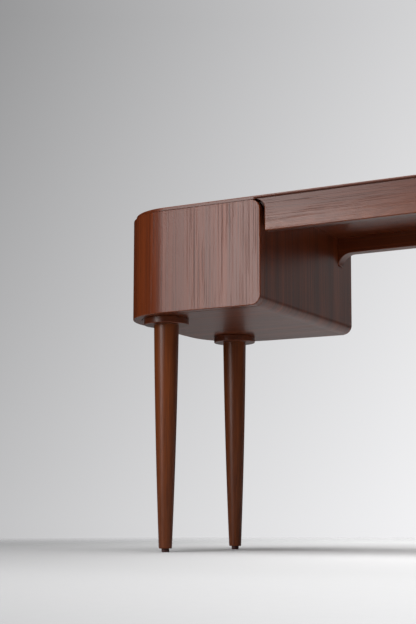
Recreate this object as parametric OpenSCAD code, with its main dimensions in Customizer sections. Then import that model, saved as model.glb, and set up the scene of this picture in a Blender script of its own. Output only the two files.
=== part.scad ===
// Dressing table with rounded ends: two wrap-front drawers in pods under a thin top,
// four turned legs on disc collars, and a round mirror that tilts between two posts.
// X runs to the right, Y to the back and Z up. The origin is on the floor, under the
// centre of the table. The left pod is modelled, and the right one is its mirror image.

/* [Table] */
// Overall length of the table
table_l = 1500; // [1360:10:1700]
// Overall depth of the table
table_d = 510; // [490:5:560]
// Height of the top surface above the floor
table_h = 750; // [720:5:790]
// Thickness of the top panel
top_t = 13; // [12:0.5:18]
// Thickness of the top's lip above the drawer fronts and the end walls
lip_t = 7.5; // [5:0.5:9]
// How far the ends of the top sit back from the ends of the pods
top_inset = 12; // [6:1:16]
// Plan radius of the four corners
corner_r = 136; // [124:2:150]

/* [Pods] */
// Length of one pod, from the end of the table to its inner side
pod_l = 371; // [350:1:400]
// Height of the underside of the pods above the floor
pod_z = 515; // [490:5:535]
// Thickness of the curved end wall, the back and the drawer front
wall_t = 20; // [18:1:22]
// Thickness of the inner side, which is also the radius of its lower edge
side_t = 22; // [20:1:24]
// Thickness of the bottom panel
floor_t = 18; // [18:1:20]

/* [Front] */
// Depth of the front face over the kneehole, from the top surface to the fascia's lower edge
fascia_h = 78.5; // [60:0.5:90]
// Width of the finger gap between a drawer front and the fascia
finger_gap = 11; // [9:1:16]
// Radius of the corners of the drawer front, beside the kneehole
front_r = 22; // [12:1:26]
// Clearance around the drawer front
front_gap = 1.5; // [1:0.5:3]
// Gap between a drawer front and the lip of the top
front_top_gap = 0.5; // [0.4:0.1:2]
// Depth of the hidden rail behind the fascia
inner_rail_h = 47; // [35:1:55]

/* [Rear rail] */
// Height of the rear rail under the top
rear_rail_h = 37; // [30:1:45]
// Thickness of the rear rail
rear_rail_t = 30; // [24:1:34]
// Distance from the back edge of the table to the back of the rear rail
rear_rail_inset = 54; // [45:1:60]
// Radius of the quarter-round brackets at the ends of the rear rail
bracket_r = 35; // [25:1:40]

/* [Legs] */
// Distance from the end of the table to the axis of a leg
leg_inset = 99; // [90:1:115]
// Distance from the front of the table to the axis of a front leg
leg_front = 79; // [70:1:100]
// Distance from the back of the table to the axis of a rear leg
leg_back = 99; // [85:1:110]
// Radius of a leg at its top
leg_top_r = 27.8; // [24:0.1:30]
// Radius of a leg at its foot
leg_foot_r = 14.5; // [12:0.1:18]
// How far the outline of a leg swells beyond a straight taper, at mid-height
leg_swell = 1.7; // [0:0.1:3]
// Radius of the disc collar between a leg and the pod
collar_r = 50; // [44:1:54]
// Thickness of the disc collar
collar_t = 15; // [12:1:20]
// Radius of the glide under a leg
glide_r = 8.5; // [7:0.5:11]
// Height of the glide under a leg
glide_h = 8; // [5:1:12]

/* [Drawers] */
// Thickness of the sides and back of a drawer
box_t = 12; // [10:1:14]
// Height of the sides of a drawer
box_h = 150; // [110:5:160]
// Thickness of the bottom of a drawer
box_floor_t = 6; // [4:1:8]
// Length of a drawer runner
runner_l = 316; // [290:2:320]

/* [Mirror] */
// Outer radius of the mirror's frame
mirror_r = 148; // [120:1:160]
// Width of the frame's face
frame_w = 19; // [14:1:24]
// Depth of the mirror's frame
frame_t = 14; // [12:1:18]
// Gap between the table top and the bottom of the mirror
mirror_lift = 62; // [50:1:120]
// Distance from the back of the table to the mirror's tilt axis
mirror_back = 65; // [60:1:68]
// Radius of a post at its foot
post_foot_r = 10; // [9:0.5:12]
// Radius of a post at its top
post_top_r = 6.5; // [6:0.5:8]

/* [Hidden] */
$fn = 96;
tiny = 0.01;
fit = 0.1;
wood_c = [0.42, 0.24, 0.18];
end_wood_c = [0.33, 0.14, 0.08];
inner_wood_c = [0.72, 0.56, 0.42];
steel_c = [0.72, 0.73, 0.75];
brass_c = [0.78, 0.62, 0.35];
dark_c = [0.16, 0.10, 0.08];
felt_c = [0.20, 0.18, 0.17];
glass_c = [0.80, 0.86, 0.88];

// Planes of the table
end_x = -table_l / 2;
front_y = -table_d / 2;
back_y = table_d / 2;
top_under_z = table_h - top_t;
lip_z = table_h - lip_t;
tangent_x = end_x + corner_r;
wrap_y = front_y + corner_r;

// Planes of the left pod
side_x = end_x + pod_l;
side_in_x = side_x - side_t;
pod_floor_z = pod_z + floor_t;
front_in_y = front_y + wall_t;

// Front and rail
front_x = side_x + 1;
front_top_z = lip_z - front_top_gap;
fascia_z = table_h - fascia_h;
fascia_x = front_x + finger_gap;
fascia_end_x = fascia_x - front_r + 6;
rear_rail_y = back_y - rear_rail_inset - rear_rail_t;

// Legs, in the left pod
leg_x = end_x + leg_inset;
leg_ys = [front_y + leg_front, back_y - leg_back];
leg_top_z = pod_z - collar_t;
leg_steps = 24;
bolt_r = 5;
insert_r = 8;
insert_h = 16;
bolt_depth = 48;
glide_pin_r = 3;
glide_pin_l = 14;

// Left drawer: the box hangs over two runners, inside the pod
box_gap = 7;
box_z = pod_floor_z + 19;
box_floor_z = box_z + 8;
box_left_x = end_x + wall_t + box_gap;
box_right_x = side_in_x - box_gap;
box_back_y = back_y - corner_r + 25;
box_front_inset = wall_t + 2 * fit;
runner_y = front_y + 85;
runner_w = 34;
runner_h = 14;
runner_wall = 2;
slide_w = 29;
slide_xs = [box_left_x + box_t + 0.5 + slide_w / 2,
            box_right_x - box_t - 0.5 - slide_w / 2];
runner_screw_r = 1.8;
runner_screw_ys = [runner_y + 30, runner_y + runner_l / 2, runner_y + runner_l - 30];

// Dowels and screws
dowel_r = 4;
dowel_l = 32;
side_dowel_ys = [-180, 0, 215];
screw_r = 2;
screw_xs = [-320, -160, 0, 160, 320];

// Mirror
mirror_y = back_y - mirror_back;
mirror_z = table_h + mirror_lift + mirror_r;
glass_r = mirror_r - 13.5;
glass_t = 4;
lip_d = 3;
post_x = mirror_r + 12;
foot_r = 20;
foot_t = 8;
head_l = 15;
head_r = 9;
pin_r = 2.5;
pin_bore_r = 2.55;
stud_r = 3;
washer_t = 3.6;

// ---- Helpers -------------------------------------------------------------------

// Extrudes an outline drawn in X and Z, from y0 to y1
module along_y(y0, y1) {
  translate([0, y1, 0]) rotate([90, 0, 0]) linear_extrude(y1 - y0) children();
}

// Plan of the left end of the table, set in by inset, as far as x1
module end_plan(inset, x1) {
  r = corner_r - inset;
  x0 = end_x + inset;
  y0 = front_y + inset;
  depth = table_d - 2 * inset;
  translate([x0 + r, y0]) square([x1 - x0 - r, depth]);
  translate([x0, y0 + r]) square([x1 - x0, depth - 2 * r]);
  for (y = [y0 + r, y0 + depth - r]) translate([x0 + r, y]) circle(r);
}

// Plan of the wall that follows the left end, between y0 and y1
module wall_plan(x1, y0, y1) {
  intersection() {
    difference() {
      end_plan(0, 0);
      end_plan(wall_t, 1);
    }
    translate([end_x - 1, y0]) square([x1 - end_x + 1, y1 - y0]);
  }
}

// Plan of everything inside the walls; it stands clear of the drawer front
module core_plan(x1) {
  intersection() {
    end_plan(wall_t + front_gap, x1);
    translate([end_x, front_y]) square([-end_x, corner_r + front_gap]);
  }
  intersection() {
    end_plan(wall_t, x1);
    translate([end_x, wrap_y + front_gap - tiny]) square([-end_x, table_d]);
  }
}

// Plan of the top: its ends are set in, and its long edges are not
module top_plan() {
  r = corner_r - top_inset;
  x = -end_x - top_inset;
  square([2 * (x - r), table_d], center = true);
  square([2 * x, table_d - 2 * r], center = true);
  for (sx = [-1, 1], sy = [-1, 1]) translate([sx * (x - r), sy * (back_y - r)]) circle(r);
}

// Outline in X and Z that ends at x1 and z1 with both right corners rounded
module rounded_face(x0, z0, x1, z1, r) {
  translate([x0, z0]) square([x1 - r - x0, z1 - z0]);
  translate([x0, z0 + r]) square([x1 - x0, z1 - z0 - 2 * r]);
  for (z = [z0 + r, z1 - r]) translate([x1 - r, z]) circle(r);
}

module both_sides() {
  children();
  mirror([1, 0, 0]) children();
}

module at_legs() {
  for (y = leg_ys) translate([leg_x, y, 0]) children();
}

// A cylinder along X from x0 to x1
module rod_x(x0, x1, r) {
  translate([x0, 0, 0]) rotate([0, 90, 0]) cylinder(h = x1 - x0, r = r);
}

// A cylinder along Y from y0 to y1
module rod_y(y0, y1, r) {
  translate([0, y1, 0]) rotate([90, 0, 0]) cylinder(h = y1 - y0, r = r);
}

// ---- Top, fascia and rails -----------------------------------------------------

// Dowels that stand between the inner sides and the top
module side_dowels(r, l) {
  both_sides() for (y = side_dowel_ys)
    translate([side_x - side_t / 2, y, top_under_z + 8 - l]) cylinder(h = l, r = r);
}

// Dowels that lie between the rails and the inner sides
module rail_dowels(r, l) {
  both_sides() for (p = [[front_in_y + 10, top_under_z - 22],
                         [rear_rail_y + rear_rail_t / 2, top_under_z - 18]])
    translate([0, p[0], p[1]]) rod_x(side_x + 16 - l, side_x + 16, r);
}

module stud_shapes(r, z0, z1) {
  both_sides() translate([-post_x, mirror_y, z0]) cylinder(h = z1 - z0, r = r);
}

module screw_shapes(r, head_r) {
  for (x = screw_xs) translate([x, 0, top_under_z - 30]) {
    rod_y(front_in_y - 12, front_in_y + 20, r);
    rod_y(front_in_y + 17, front_in_y + 20, head_r);
  }
}

module table_top() color(wood_c) {
  difference() {
    translate([0, 0, top_under_z]) linear_extrude(top_t) top_plan();
    // rebate over the end walls, the drawer fronts and the fascia
    both_sides() translate([0, 0, top_under_z - 1]) linear_extrude(top_t - lip_t + 1)
      difference() {
        union() {
          translate([end_x - 1, front_y - 1]) square([corner_r + 1, table_d + 2]);
          translate([end_x, front_y - 1]) square([fascia_x - end_x, corner_r]);
        }
        core_plan(0);
      }
    translate([fascia_x - tiny, front_y - 1, top_under_z - 1])
      cube([-2 * fascia_x + 2 * tiny, wall_t + 1, top_t - lip_t + 1]);
    side_dowels(dowel_r + fit, dowel_l + fit);
    stud_shapes(stud_r + fit, top_under_z - 1, table_h + 1);
  }
}

module front_fascia() color(wood_c) {
  difference() {
    translate([fascia_end_x, front_y, fascia_z])
      cube([-2 * fascia_end_x, wall_t, lip_z - fascia_z]);
    both_sides() along_y(front_y - 1, front_in_y + 1)
      rounded_face(tangent_x, pod_z, fascia_x, lip_z, front_r);
    screw_shapes(screw_r + fit, 1);
  }
}

module front_inner_rail() color(wood_c) {
  difference() {
    translate([side_x, front_in_y, top_under_z - inner_rail_h])
      cube([-2 * side_x, wall_t, inner_rail_h]);
    screw_shapes(screw_r + fit, 4 + fit);
    rail_dowels(dowel_r + fit, dowel_l + 2 * fit);
  }
}

module rear_rail() color(wood_c) {
  rail_z = top_under_z - rear_rail_h;
  difference() {
    along_y(rear_rail_y, rear_rail_y + rear_rail_t) {
      translate([side_x, rail_z]) square([-2 * side_x, rear_rail_h]);
      both_sides() difference() {
        translate([side_x, rail_z - bracket_r]) square([bracket_r, bracket_r + tiny]);
        translate([side_x + bracket_r, rail_z - bracket_r]) circle(bracket_r);
      }
    }
    rail_dowels(dowel_r + fit, dowel_l + 2 * fit);
    stud_shapes(stud_r + fit, table_h - 30, table_h + 1);
  }
}

module carcass_dowels() color(inner_wood_c) {
  side_dowels(dowel_r, dowel_l);
  rail_dowels(dowel_r, dowel_l);
}

module fascia_screws() color(steel_c) screw_shapes(screw_r, 4);

// ---- Left pod ------------------------------------------------------------------

module runner_screw_shapes(r, z0, z1) {
  for (x = slide_xs, y = runner_screw_ys) translate([x, y, z0]) cylinder(h = z1 - z0, r = r);
}

module pod_bottom() color(wood_c) {
  difference() {
    translate([0, 0, pod_z]) linear_extrude(floor_t) core_plan(side_in_x);
    at_legs() translate([0, 0, pod_z - 1]) cylinder(h = insert_h + 1 + fit, r = insert_r + fit);
    runner_screw_shapes(runner_screw_r + fit, pod_floor_z - 12, pod_floor_z + 1);
  }
}

module pod_inner_side() color(wood_c) {
  difference() {
    along_y(front_in_y + front_gap, back_y) {
      translate([side_in_x, pod_z + side_t])
        square([side_t, top_under_z - pod_z - side_t]);
      intersection() {
        translate([side_in_x, pod_z + side_t]) circle(side_t);
        translate([side_in_x, pod_z]) square(side_t);
      }
    }
    side_dowels(dowel_r + fit, dowel_l + fit);
    rail_dowels(dowel_r + fit, dowel_l + 2 * fit);
  }
}

module pod_end_wall() color(wood_c)
  translate([0, 0, pod_z]) linear_extrude(lip_z - pod_z)
    wall_plan(tangent_x, wrap_y + front_gap, back_y);

module pod_back() color(wood_c)
  translate([tangent_x, back_y - wall_t, pod_z])
    cube([side_in_x - tangent_x, wall_t, top_under_z - pod_z]);

// ---- Left drawer ---------------------------------------------------------------

module drawer_front() color(wood_c)
  intersection() {
    translate([0, 0, pod_z]) linear_extrude(front_top_z - pod_z)
      wall_plan(front_x, front_y - 1, wrap_y);
    along_y(front_y - 1, wrap_y + 1)
      rounded_face(end_x - 1, pod_z, front_x, front_top_z, front_r);
  }

// The curved inside of the drawer front bounds everything behind it
module box_bounds() {
  end_plan(box_front_inset, side_in_x);
}

module drawer_outer_side() color(inner_wood_c)
  translate([0, 0, box_z]) linear_extrude(box_h)
    intersection() {
      box_bounds();
      translate([box_left_x, front_y]) square([box_t, box_back_y - front_y]);
    }

module drawer_inner_side() color(inner_wood_c)
  translate([box_right_x - box_t, front_in_y, box_z])
    cube([box_t, box_back_y - front_in_y, box_h]);

// The back stands on the runners, level with the underside of the bottom
module drawer_back() color(inner_wood_c)
  translate([box_left_x + box_t, box_back_y - box_t, box_floor_z])
    cube([box_right_x - box_left_x - 2 * box_t, box_t, box_z + box_h - box_floor_z]);

module drawer_bottom() color(inner_wood_c)
  translate([0, 0, box_floor_z]) linear_extrude(box_floor_t)
    intersection() {
      box_bounds();
      translate([box_left_x + box_t, front_y])
        square([box_right_x - box_left_x - 2 * box_t, box_back_y - box_t - front_y]);
    }

// Moving halves of the runners: upturned channels under the drawer's bottom
module drawer_slides() color(steel_c)
  for (x = slide_xs) difference() {
    translate([x - slide_w / 2, runner_y, pod_floor_z + 3])
      cube([slide_w, runner_l, box_floor_z - pod_floor_z - 3]);
    translate([x - slide_w / 2 + runner_wall, runner_y - 1, pod_floor_z + 2])
      cube([slide_w - 2 * runner_wall, runner_l + 2, box_floor_z - pod_floor_z - 4]);
  }

// Fixed half of a runner: a channel screwed to the pod's bottom
module runner(x) color(steel_c)
  difference() {
    translate([x - runner_w / 2, runner_y, pod_floor_z]) cube([runner_w, runner_l, runner_h]);
    translate([x - runner_w / 2 + runner_wall, runner_y - 1, pod_floor_z + runner_wall])
      cube([runner_w - 2 * runner_wall, runner_l + 2, runner_h]);
    runner_screw_shapes(runner_screw_r + fit, pod_floor_z - 1, pod_floor_z + runner_wall + 1);
  }

module runner_screws() color(steel_c)
  both_sides() {
    runner_screw_shapes(runner_screw_r, pod_floor_z - 11, pod_floor_z + runner_wall + tiny);
    runner_screw_shapes(3.2, pod_floor_z + runner_wall, pod_floor_z + runner_wall + 0.8);
  }

// ---- Legs ----------------------------------------------------------------------

// Radius of a leg where u runs from 0 at the foot to 1 at the top
function leg_r(u) = leg_foot_r + (leg_top_r - leg_foot_r) * u + 4 * leg_swell * u * (1 - u);

module leg(y) color(end_wood_c)
  translate([leg_x, y, 0]) difference() {
    rotate_extrude() polygon(concat(
      [[0, leg_top_z], [0, glide_h]],
      [for (i = [0:leg_steps])
        [leg_r(i / leg_steps), glide_h + (leg_top_z - glide_h) * i / leg_steps]]));
    translate([0, 0, leg_top_z - bolt_depth - fit])
      cylinder(h = bolt_depth + 1, r = bolt_r + fit);
    translate([0, 0, glide_h - 1]) cylinder(h = glide_pin_l + 1 + fit, r = glide_pin_r + fit);
  }

module collar(y) color(end_wood_c)
  translate([leg_x, y, leg_top_z]) difference() {
    cylinder(h = collar_t, r = collar_r);
    translate([0, 0, -1]) cylinder(h = collar_t + 2, r = bolt_r + fit);
  }

module glide(y) color(dark_c)
  translate([leg_x, y, 0]) {
    cylinder(h = glide_h, r = glide_r);
    cylinder(h = glide_h + glide_pin_l, r = glide_pin_r);
  }

module leg_bolts() color(steel_c)
  both_sides() at_legs() translate([0, 0, leg_top_z - bolt_depth])
    cylinder(h = bolt_depth + collar_t + insert_h - 2, r = bolt_r);

module leg_inserts() color(brass_c)
  both_sides() at_legs() translate([0, 0, pod_z]) difference() {
    cylinder(h = insert_h, r = insert_r);
    translate([0, 0, -1]) cylinder(h = insert_h - 1, r = bolt_r + fit);
  }

// ---- Mirror --------------------------------------------------------------------

module mirror_post() color(end_wood_c)
  translate([-post_x, mirror_y, 0]) difference() {
    union() {
      translate([0, 0, table_h + foot_t])
        cylinder(h = mirror_z - table_h - foot_t, r1 = post_foot_r, r2 = post_top_r);
      translate([0, 0, mirror_z]) sphere(head_r);
    }
    translate([0, 0, mirror_z]) {
      rod_x(-20, 20, pin_bore_r);
      // both faces of the head are turned flat
      for (s = [-1, 1]) translate([s * head_r, 0, 0])
        cube([2 * head_r - head_l, 3 * head_r, 3 * head_r], center = true);
    }
    translate([0, 0, table_h]) cylinder(h = foot_t + 18 + fit, r = stud_r + fit);
  }

module post_foot() color(end_wood_c)
  translate([-post_x, mirror_y, table_h]) difference() {
    cylinder(h = foot_t, r = foot_r);
    translate([0, 0, -1]) cylinder(h = foot_t + 2, r = stud_r + fit);
  }

module post_studs() color(steel_c) stud_shapes(stud_r, table_h - 29, table_h + foot_t + 18);

// Disc or ring about the mirror's centre, from y0 to y1
module mirror_disc(y0, y1, r) {
  translate([0, mirror_y, mirror_z]) rod_y(y0, y1, r);
}

module insert_shapes(r) {
  both_sides() translate([0, mirror_y, mirror_z]) rod_x(-mirror_r + 0.4, -mirror_r + 11, r);
}

module mirror_frame() color(wood_c)
  difference() {
    mirror_disc(-frame_t / 2, frame_t / 2, mirror_r);
    mirror_disc(-frame_t, frame_t, mirror_r - frame_w);
    mirror_disc(-frame_t / 2 + lip_d, frame_t, glass_r + 3 * fit);
    both_sides() translate([0, mirror_y, mirror_z]) rod_x(-mirror_r - 1, -mirror_r + 11, 4 + fit);
  }

module mirror_glass() color(glass_c)
  mirror_disc(-frame_t / 2 + lip_d, -frame_t / 2 + lip_d + glass_t, glass_r);

module mirror_back_board() color(inner_wood_c)
  mirror_disc(-frame_t / 2 + lip_d + glass_t, frame_t / 2, glass_r);

// Turn-buttons that hold the back board in the frame
module mirror_clips() color(brass_c)
  translate([0, mirror_y + frame_t / 2, mirror_z]) for (a = [45:90:315]) rotate([0, a, 0])
    translate([glass_r, 0, 0]) {
      translate([-9, 0, -4]) cube([18, 1.5, 8]);
      for (s = [-9, 9]) translate([s, 0, 0]) rod_y(0, 1.5, 4);
      translate([7, 0, 0]) rod_y(0, 2.5, 2.5);
    }

module pivot_knob() color(brass_c)
  translate([0, mirror_y, mirror_z]) {
    rod_x(-post_x - head_l / 2 - 1, -mirror_r + 10, pin_r);
    rod_x(-post_x - head_l / 2 - 2.5, -post_x - head_l / 2 - 0.5, 5);
    rod_x(-post_x - head_l / 2 - 12, -post_x - head_l / 2 - 2.5 + tiny, 7.5);
  }

module pivot_inserts() color(brass_c)
  difference() {
    insert_shapes(4);
    insert_shapes(pin_r + fit / 2);
  }

module friction_washers() color(felt_c)
  both_sides() translate([0, mirror_y, mirror_z]) difference() {
    rod_x(-post_x + head_l / 2, -post_x + head_l / 2 + washer_t, 7);
    rod_x(-post_x, -mirror_r + 2, pin_r + 2 * fit);
  }

// ---- Assembly ------------------------------------------------------------------

table_top();
front_fascia();
front_inner_rail();
rear_rail();
carcass_dowels();
fascia_screws();

pod_bottom();  // left_pod_bottom
pod_inner_side();  // left_pod_inner_side
pod_end_wall();  // left_pod_end_wall
pod_back();  // left_pod_back
mirror([1, 0, 0]) pod_bottom();  // right_pod_bottom
mirror([1, 0, 0]) pod_inner_side();  // right_pod_inner_side
mirror([1, 0, 0]) pod_end_wall();  // right_pod_end_wall
mirror([1, 0, 0]) pod_back();  // right_pod_back

drawer_front();  // left_drawer_front
drawer_outer_side();  // left_drawer_outer_side
drawer_inner_side();  // left_drawer_inner_side
drawer_back();  // left_drawer_back
drawer_bottom();  // left_drawer_bottom
drawer_slides();  // left_drawer_slides
mirror([1, 0, 0]) drawer_front();  // right_drawer_front
mirror([1, 0, 0]) drawer_outer_side();  // right_drawer_outer_side
mirror([1, 0, 0]) drawer_inner_side();  // right_drawer_inner_side
mirror([1, 0, 0]) drawer_back();  // right_drawer_back
mirror([1, 0, 0]) drawer_bottom();  // right_drawer_bottom
mirror([1, 0, 0]) drawer_slides();  // right_drawer_slides

runner(slide_xs[0]);  // left_outer_runner
runner(slide_xs[1]);  // left_inner_runner
mirror([1, 0, 0]) runner(slide_xs[0]);  // right_outer_runner
mirror([1, 0, 0]) runner(slide_xs[1]);  // right_inner_runner
runner_screws();

leg(leg_ys[0]);  // front_left_leg
leg(leg_ys[1]);  // rear_left_leg
mirror([1, 0, 0]) leg(leg_ys[0]);  // front_right_leg
mirror([1, 0, 0]) leg(leg_ys[1]);  // rear_right_leg
collar(leg_ys[0]);  // front_left_collar
collar(leg_ys[1]);  // rear_left_collar
mirror([1, 0, 0]) collar(leg_ys[0]);  // front_right_collar
mirror([1, 0, 0]) collar(leg_ys[1]);  // rear_right_collar
glide(leg_ys[0]);  // front_left_glide
glide(leg_ys[1]);  // rear_left_glide
mirror([1, 0, 0]) glide(leg_ys[0]);  // front_right_glide
mirror([1, 0, 0]) glide(leg_ys[1]);  // rear_right_glide
leg_bolts();
leg_inserts();

mirror_post();  // left_mirror_post
mirror([1, 0, 0]) mirror_post();  // right_mirror_post
post_foot();  // left_post_foot
mirror([1, 0, 0]) post_foot();  // right_post_foot
post_studs();
mirror_frame();
mirror_glass();
mirror_back_board();
mirror_clips();
pivot_knob();  // left_pivot_knob
mirror([1, 0, 0]) pivot_knob();  // right_pivot_knob
pivot_inserts();
friction_washers();
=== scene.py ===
"""Looks of the vanity table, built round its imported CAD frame. Lengths are in metres."""

import math

import bmesh
import bpy
from mathutils import Matrix, Vector


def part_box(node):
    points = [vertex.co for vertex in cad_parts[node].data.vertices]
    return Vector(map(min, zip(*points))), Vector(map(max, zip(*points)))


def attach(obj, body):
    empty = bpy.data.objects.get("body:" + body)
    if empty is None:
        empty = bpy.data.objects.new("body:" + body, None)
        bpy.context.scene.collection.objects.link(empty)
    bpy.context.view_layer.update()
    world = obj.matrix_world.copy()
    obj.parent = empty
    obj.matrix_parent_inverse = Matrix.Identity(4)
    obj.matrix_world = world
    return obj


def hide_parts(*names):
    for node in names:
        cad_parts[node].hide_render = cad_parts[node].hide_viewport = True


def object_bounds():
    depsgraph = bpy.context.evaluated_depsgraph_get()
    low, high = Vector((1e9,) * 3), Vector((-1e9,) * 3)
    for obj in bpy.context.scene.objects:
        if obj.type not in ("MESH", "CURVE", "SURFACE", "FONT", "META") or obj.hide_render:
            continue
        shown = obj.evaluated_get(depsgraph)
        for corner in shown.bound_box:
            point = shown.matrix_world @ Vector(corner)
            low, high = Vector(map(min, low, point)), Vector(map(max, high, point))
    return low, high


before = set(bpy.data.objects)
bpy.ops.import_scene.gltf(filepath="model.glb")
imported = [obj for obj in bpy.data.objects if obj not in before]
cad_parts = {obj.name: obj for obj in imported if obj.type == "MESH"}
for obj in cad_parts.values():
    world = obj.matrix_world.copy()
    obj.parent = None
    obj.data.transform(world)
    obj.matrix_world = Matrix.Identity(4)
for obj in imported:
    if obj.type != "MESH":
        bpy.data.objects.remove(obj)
cad_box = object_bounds()

# Sizes that the boxes of the CAD nodes don't give
CORNER_R = 0.136        # outside of the bent walls and drawer fronts
WALL_T = 0.020          # their thickness
TOP_INSET = 0.012       # how far the ends of the top sit back
LIP_T = 0.0075          # the top's lip over the walls and drawer fronts
FRONT_R = 0.022         # right-hand corners of the drawer front, and the notches of the fascia
FASCIA_HALF = 0.367     # half the length of the fascia below its notches
SIDE_R = 0.022          # lower edge of a pod's inner side
BRACKET_R = 0.035       # quarter-round brackets of the rear rail
LEG_FOOT_R = 0.0145
LEG_SWELL = 0.0017
MIRROR_LIP_W = 0.0058   # how far the lip laps over the glass
POST_FOOT_R = 0.010
POST_TOP_R = 0.0065
POST_HEAD_R = 0.009
POST_HEAD_FLAT = 0.0075 # from the middle of a post's head to each of its flats
PIN_R = 0.0025          # pivot pin
PIN_BORE_R = 0.00255    # bore of a post's head, round the pivot pin

ARRIS = 0.0018          # radius that the edges of panels are sanded to
LATHE_STEPS = 96        # mesh segments round a turned piece
POST_STEPS = 64         # and round a mirror post
BORE_STEPS = 48         # and round its bore
BEND_CUTS = 30          # mesh strips round a bent corner
ARC_STEPS = 12          # mesh segments round a fillet
PLAN_STEPS = 32         # and round a corner of the table's plan
EDGE_STEPS = 4          # and over a rounded edge
WEAR_HIGHLIGHT_MAX_R = 0.007      # rounded corners up to this radius get the edge mark, painted a lighter orange: scuffed edges with a painted highlight
SHARP_ANGLE = math.radians(38)
NO_LENGTH = 1e-6        # mesh points this close together are one
GRAIN_SHIFT = Vector((0.37, 0.61, 1.73))    # from one piece's part of the grain to the next


# ---- Mesh helpers ---------------------------------------------------------------

def fillet(corners, steps=ARC_STEPS):
    """Closed outline through corners (u, v, radius), as points (u, v, edge mark). The edge mark is
    1 on small rounded corners, which the wood paints lighter: scuffed edges with a painted
    highlight.
    """
    points = []
    for i, (u, v, r) in enumerate(corners):
        here = Vector((u, v))
        if r <= 0:
            points.append((u, v, 0.0))
            continue
        back = (Vector(corners[i - 1][:2]) - here).normalized()
        ahead = (Vector(corners[(i + 1) % len(corners)][:2]) - here).normalized()
        half = back.angle(ahead) / 2
        centre = here + (back + ahead).normalized() * (r / math.sin(half))
        start = here + back * (r / math.tan(half)) - centre
        turn = start.angle_signed(here + ahead * (r / math.tan(half)) - centre)
        for k in range(steps + 1):
            arm = start.copy()
            arm.rotate(Matrix.Rotation(-turn * k / steps, 2))
            worn_highlit = 1.0 if r < WEAR_HIGHLIGHT_MAX_R and 0 < k < steps else 0.0
            points.append((centre.x + arm.x, centre.y + arm.y, worn_highlit))
    return points


def area(points):
    """Area inside an outline, below 0 if it runs clockwise."""
    pairs = zip(points, points[1:] + points[:1])
    return sum(a[0] * b[1] - b[0] * a[1] for a, b in pairs) / 2


def inward(points):
    """For each point of an outline, the step that moves both its edges in by one unit."""
    sign = 1 if area(points) > 0 else -1
    steps = []
    for i, p in enumerate(points):
        here = Vector(p[:2])
        before = (here - Vector(points[i - 1][:2])).normalized()
        after = (Vector(points[(i + 1) % len(points)][:2]) - here).normalized()
        n0 = Vector((-before.y, before.x)) * sign
        n1 = Vector((-after.y, after.x)) * sign
        middle = n0 + n1
        scale = max(middle.dot(n0), 0.5)
        steps.append(middle / scale)
    return steps


def quarter(radius):
    """(inset, depth, edge mark) over a rounded edge, from the flat face to the side. The mark
    paints the rounding lighter: scuffing plus a painted highlight.
    """
    if radius <= 0:
        return [(0.0, 0.0, 0.0)]
    out = []
    for k in range(EDGE_STEPS + 1):
        a = math.pi / 2 * k / EDGE_STEPS
        worn_highlit = 1.0 if 0 < k < EDGE_STEPS else 0.0
        out.append((radius * (1 - math.sin(a)), radius * (1 - math.cos(a)), worn_highlit))
    return out


def slab_rings(outline, depth, near, far, near_k, far_k):
    """Rings of (u, v, w, edge mark) for a slab with both its faces' edges rounded."""
    moves = inward(outline)
    rings = []
    for inset, down, worn_highlit in quarter(near):
        rings.append([ring_point(p, m, near_k(*p[:2]), inset, down, worn_highlit)
                      for p, m in zip(outline, moves)])
    for inset, down, worn_highlit in reversed(quarter(far)):
        ring = [ring_point(p, m, far_k(*p[:2]), inset, down, worn_highlit)
                for p, m in zip(outline, moves)]
        rings.append([(u, v, depth - w, wear_and_highlight) for u, v, w, wear_and_highlight in ring])
    return rings


def ring_point(point, move, factor, inset, down, worn_highlit):
    """An outline's point, moved onto the rounded edge. factor scales the rounding there."""
    u, v, corner = point
    wear_and_highlight = max(corner, worn_highlit * min(1.0, factor))
    return u + move.x * inset * factor, v + move.y * inset * factor, down * factor, wear_and_highlight


def everywhere(u, v):
    """The factor of an edge that is rounded in full all the way round."""
    return 1.0


def loft(rings, ring_closed=False):
    """bmesh through rings of (u, v, w, edge mark), the mark kept as a vertex layer for the lighter
    edge colour: scuffed edges with a painted highlight. Its ends are capped, or joined to each
    other.
    """
    bm = bmesh.new()
    wear_and_highlight = bm.verts.layers.float.new("wear_and_highlight")
    made = []
    for ring in rings:
        row = []
        for u, v, w, worn_highlit in ring:
            vert = bm.verts.new((u, v, w))
            vert[wear_and_highlight] = worn_highlit
            row.append(vert)
        made.append(row)
    pairs = list(zip(made, made[1:]))
    if ring_closed:
        pairs.append((made[-1], made[0]))
    for low, high in pairs:
        for i in range(len(low)):
            j = (i + 1) % len(low)
            bm.faces.new((low[i], low[j], high[j], high[i]))
    if not ring_closed:
        bm.faces.new(made[0])
        bm.faces.new(made[-1])
    bmesh.ops.remove_doubles(bm, verts=bm.verts, dist=NO_LENGTH)
    return bm


def add_to_scene(name, data):
    made = bpy.data.objects.new(name, data)
    bpy.context.scene.collection.objects.link(made)
    return made


def new_object(bm, name, material):
    """Turns the bmesh into an object of the scene, and frees it."""
    mesh = bpy.data.meshes.new(name)
    bm.to_mesh(mesh)
    bm.free()
    mesh.materials.append(material)
    return add_to_scene(name, mesh)


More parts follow.
